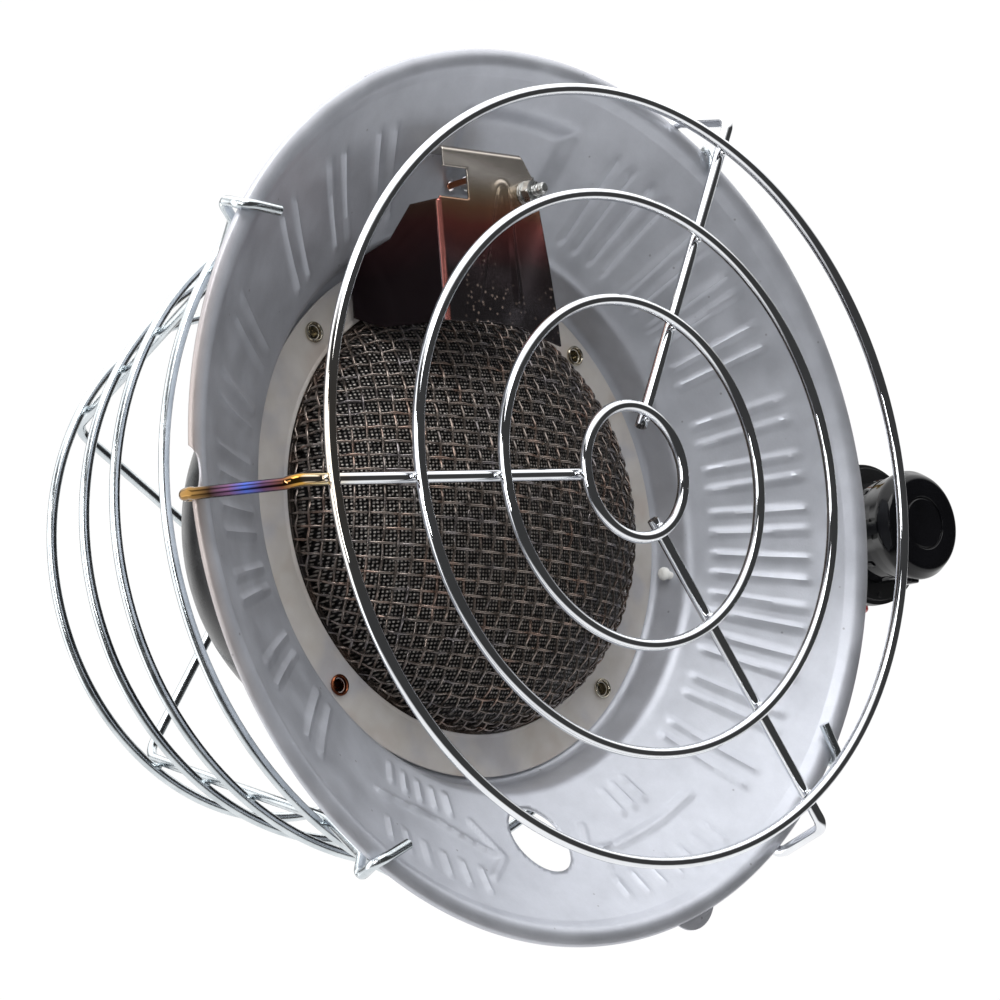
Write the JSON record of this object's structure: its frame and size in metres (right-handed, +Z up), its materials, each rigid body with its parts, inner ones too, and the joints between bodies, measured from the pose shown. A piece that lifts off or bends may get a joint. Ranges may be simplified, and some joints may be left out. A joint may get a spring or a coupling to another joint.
{
  "type": "portable propane heater",
  "caption": "Tank-top infrared heater: round dish with a mesh dome burner, wire front guard, rear wire cage, control knob and tank inlet.",
  "frame": {"origin": "centre of the shoulder of the tank nut, where its thread starts", "axes": "+Y along the inlet towards the gas tank, -Y towards the front of the heater, +Z up to the dish, +X to the right seen from the front"},
  "size_m": [0.3, 0.214, 0.3805],
  "materials": {
    "dish_steel": "satin aluminised sheet",
    "white_enamel": "white enamelled rivet",
    "bare_steel": "bare pressed sheet, slightly warmed by heat",
    "burner_mesh": "crimped heat-resisting wire cloth, scaled by heat",
    "fine_screen": "fine woven wire cloth",
    "eyelet": "rolled hollow rivet",
    "black_enamel": "glossy heat-resisting black enamel",
    "chrome_wire": "bright chrome plate",
    "zinc_wire": "bluish zinc plate",
    "tinted_steel": "bright sheet tinted by heat",
    "zinc_plate": "zinc plate",
    "probe_steel": "drawn tube tinted by heat",
    "copper": "drawn copper capillary",
    "brass": "machined",
    "seal_rubber": "moulded nitrile",
    "black_plastic": "moulded, satin",
    "gloss_black": "moulded phenolic, polished",
    "red_plastic": "moulded",
    "spring_steel": "drawn spring wire",
    "die_cast": "die-cast zinc, tumbled"
  },
  "bodies": {
    "heater": {"reflector": "dish_steel", "reflector_rivet": "white_enamel", "burner_ring": "bare_steel", "mesh_dome": "burner_mesh", "inner_screen": "fine_screen", "flange_rivets": "eyelet", "burner_pan": "black_enamel", "burner_shell": "black_enamel", "gas_spreader": "bare_steel", "front_guard": "chrome_wire", "rear_cage": "zinc_wire", "heat_shield": "tinted_steel", "shield_strap": "zinc_plate", "shield_screw": "zinc_plate", "shield_nut": "zinc_plate", "shield_washers": "zinc_plate", "thermocouple": "probe_steel", "thermocouple_lead": "copper", "mixer_tube": "black_enamel", "air_collar": "zinc_plate", "orifice_jet": "brass", "valve_body": "brass", "spindle_seal": "seal_rubber", "dial_plate": "black_plastic", "dial_screws": "zinc_plate", "magnet_unit": "brass", "thermocouple_nut": "brass", "button_spring": "spring_steel", "regulator_body": "die_cast", "diaphragm": "seal_rubber", "diaphragm_plate": "zinc_plate", "regulator_spring": "spring_steel", "regulator_cover": "die_cast", "cover_screws": "zinc_plate", "inlet_nipple": "brass", "nipple_seal": "seal_rubber"},
    "knob": {"knob": "gloss_black", "knob_cap": "gloss_black", "knob_screw": "zinc_plate", "valve_spindle": "brass"},
    "button": {"safety_button": "red_plastic", "button_plunger": "bare_steel"},
    "wheel": {"hand_wheel": "black_plastic", "tank_nut": "brass"}
  },
  "joints": [
    {"name": "knob_turn", "type": "hinge", "parent": "heater", "child": "knob", "pos_m": [0, -0.1, 0], "axis": [0, -1, 0], "range_deg": [0, 270]},
    {"name": "button_push", "type": "slide", "parent": "heater", "child": "button", "axis": [1, 0, 0], "range_m": [0, 0.005], "stiffness_N_per_m": 500, "springref_m": -0.003, "deforming": ["button_spring"]},
    {"name": "nut_spin", "type": "hinge", "parent": "heater", "child": "wheel", "pos_m": [0, 0, 0], "axis": [0, 1, 0], "continuous": true}
  ]
}
